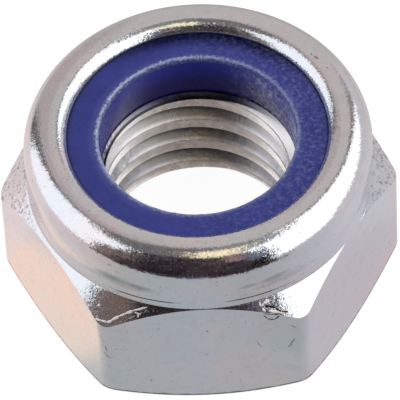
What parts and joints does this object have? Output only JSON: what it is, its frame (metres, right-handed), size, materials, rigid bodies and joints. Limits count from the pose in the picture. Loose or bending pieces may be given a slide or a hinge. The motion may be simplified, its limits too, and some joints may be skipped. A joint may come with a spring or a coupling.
{
  "type": "nylon insert lock nut",
  "caption": "Hexagon lock nut: a zinc-plated steel body with chamfered ends whose collar is rolled over a nylon ring that grips the bolt's thread.",
  "frame": {"origin": "centre of the bearing face, on the thread axis", "axes": "+Z along the thread axis, from the bearing face to the rolled collar; +X through two opposite corners of the hexagon; -Y out of the flat nearest to the viewer"},
  "size_m": [0.0148, 0.013, 0.0079],
  "materials": {
    "zinc_steel": "bright zinc plate over cold-formed steel, mirror-like, with faint smudges, scratches and nicks",
    "nylon": "satin moulded nylon, deep blue, with pale scuffs near the bore"
  },
  "bodies": {
    "root": {"nut_body": "zinc_steel", "nylon_ring": "nylon"}
  },
  "joints": []
}
